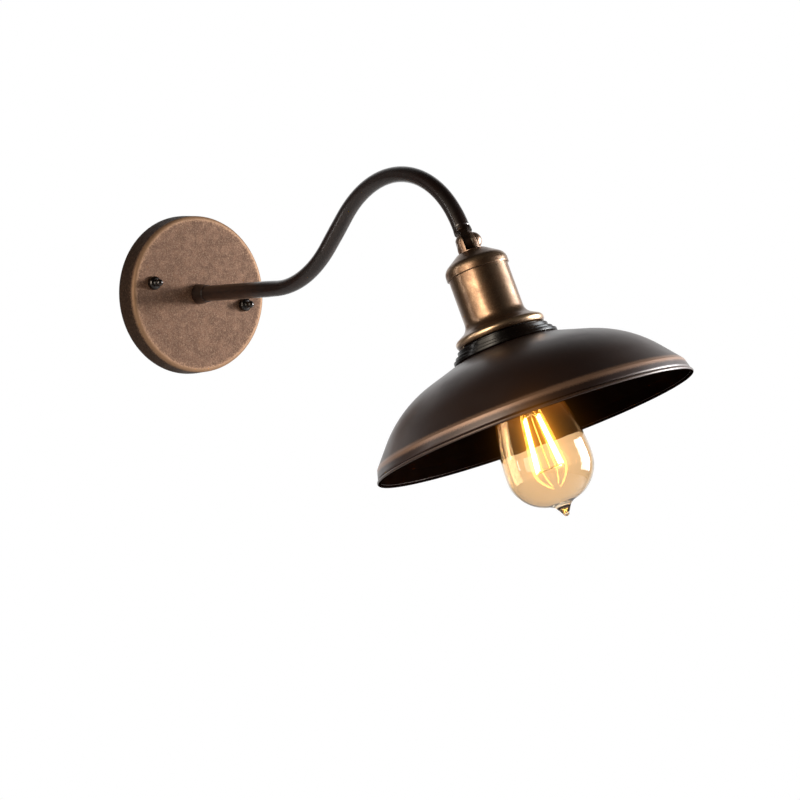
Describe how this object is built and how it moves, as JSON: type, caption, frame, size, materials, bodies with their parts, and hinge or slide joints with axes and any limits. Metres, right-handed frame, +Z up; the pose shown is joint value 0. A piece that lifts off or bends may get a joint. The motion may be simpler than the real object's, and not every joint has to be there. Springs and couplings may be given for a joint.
{
  "type": "gooseneck wall sconce",
  "caption": "Wall lamp with a round canopy, an S-curved gooseneck arm, a swivelling friction knuckle and a shallow spun metal dome shade over a clear teardrop screw lamp.",
  "frame": {"origin": "centre of the canopy's back, on the wall, midway between the two wall screw holes", "axes": "+Z up, -Y out of the wall towards the room, +X to the right seen from the room"},
  "size_m": [0.2151, 0.482, 0.2361],
  "materials": {
    "canopy_bronze": "matte mottled antique copper bronze, rubbed lighter on its edge",
    "nut_bronze": "dark bronze with a polished ball tip",
    "arm_brown": "satin brown-black",
    "knuckle_dark": "satin dark bronze",
    "head_bronze": "brushed antique bronze, semi-gloss",
    "shade_brown": "dark brown bronze with a rubbed copper brim",
    "ring_black": "black moulded thermoset",
    "holder_plastic": "black moulded thermoset",
    "terminal_plastic": "natural nylon",
    "lead_sheath": "black flexible sheath",
    "brass": "drawn brass",
    "zinc_steel": "zinc-plated steel",
    "lamp_black": "black glass insulator",
    "lamp_glass": "clear glass with a faint amber tint",
    "filament": "yellow phosphor stick, lit"
  },
  "bodies": {
    "wall_and_arm": {"wall_canopy": "canopy_bronze", "mounting_strap": "zinc_steel", "canopy_studs": "zinc_steel", "stud_nuts": "zinc_steel", "cap_nuts": "nut_bronze", "earth_screw": "brass", "terminal_block": "terminal_plastic", "terminal_screws": "zinc_steel", "arm_nipple": "zinc_steel", "lock_washer": "zinc_steel", "arm_locknut": "zinc_steel", "base_collar": "arm_brown", "gooseneck_tube": "arm_brown", "arm_lead": "lead_sheath", "swivel_bush": "arm_brown"},
    "swivel": {"knuckle_tongue": "knuckle_dark", "swivel_nut": "zinc_steel"},
    "head": {"friction_washers": "zinc_steel", "knuckle_fork": "head_bronze", "pivot_screw": "head_bronze", "pivot_nut": "head_bronze", "socket_cap": "head_bronze", "cap_locknut": "zinc_steel", "socket_cup": "head_bronze", "head_nipple": "zinc_steel", "lampholder": "holder_plastic", "screw_shell": "brass", "centre_contact": "brass", "holder_terminals": "brass", "head_lead": "lead_sheath", "shade_seat_ring": "ring_black", "shade": "shade_brown", "shade_ring_nut": "ring_black"},
    "lamp": {"lamp_contact": "zinc_steel", "lamp_insulator": "lamp_black", "lamp_cap": "brass", "lamp_glass": "lamp_glass", "lamp_stem": "lamp_glass", "filaments": "filament", "filament_supports": "zinc_steel"}
  },
  "joints": [
    {"name": "head_swivel", "type": "hinge", "parent": "wall_and_arm", "child": "swivel", "pos_m": [0, -0.33809, 0.02091], "axis": [0, -0.5314, -0.8471], "range_deg": [-165, 165]},
    {"name": "head_tilt", "type": "hinge", "parent": "swivel", "child": "head", "pos_m": [0, -0.33809, 0.02091], "axis": [0.785, -0.5248, 0.3292], "range_deg": [-92, 57]},
    {"name": "lamp_out", "type": "slide", "parent": "head", "child": "lamp", "axis": [0.1901, -0.3018, -0.9342], "range_m": [0, 0.045]}
  ]
}
